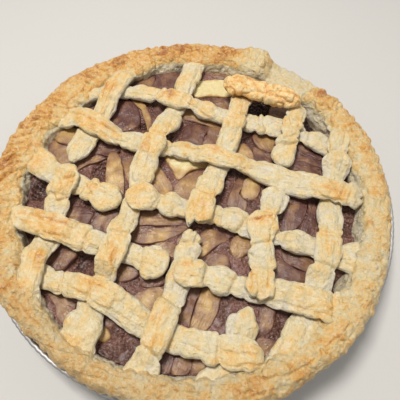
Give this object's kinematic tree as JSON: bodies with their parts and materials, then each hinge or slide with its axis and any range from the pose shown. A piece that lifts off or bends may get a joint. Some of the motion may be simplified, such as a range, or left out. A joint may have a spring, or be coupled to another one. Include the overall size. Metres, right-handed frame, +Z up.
{
  "type": "lattice apple pie",
  "caption": "Round lattice apple pie in its own foil pie tin, with a rolled crust rim, a broken woven top and sliced apple filling.",
  "frame": {"origin": "centre of the tin's flat bottom, on the surface it stands on", "axes": "+Z up, +X along the lattice strips B1 to B5, +Y along the strips A1 to A5"},
  "size_m": [0.2374, 0.2374, 0.052],
  "materials": {
    "foil": "thin pressed foil, satin, with a curled lip",
    "baked_crust": "dry baked shortcrust pastry, golden on top and pale in its folds; paper stands in for pastry",
    "baked_strip": "dry pale baked pastry strip with light golden patches; paper stands in for pastry",
    "filling": "moist cooked apple slices in a glossy brown spiced sauce; leather stands in for soft wet food"
  },
  "bodies": {
    "root": {"pie_tin": "foil", "bottom_crust": "baked_crust", "loose_rim_piece": "baked_crust", "apple_filling": "filling", "strip_a1_upper": "baked_strip", "strip_a1_lower": "baked_strip", "strip_a2": "baked_strip", "strip_a3_upper": "baked_strip", "strip_a3_lower": "baked_strip", "strip_a4_upper": "baked_strip", "strip_a4_middle": "baked_strip", "strip_a4_lower": "baked_strip", "strip_a5": "baked_strip", "strip_b1": "baked_strip", "strip_b2": "baked_strip", "strip_b3_left": "baked_strip", "strip_b3_right": "baked_strip", "strip_b4_left": "baked_strip", "strip_b4_right": "baked_strip", "strip_b5": "baked_strip"}
  },
  "joints": []
}
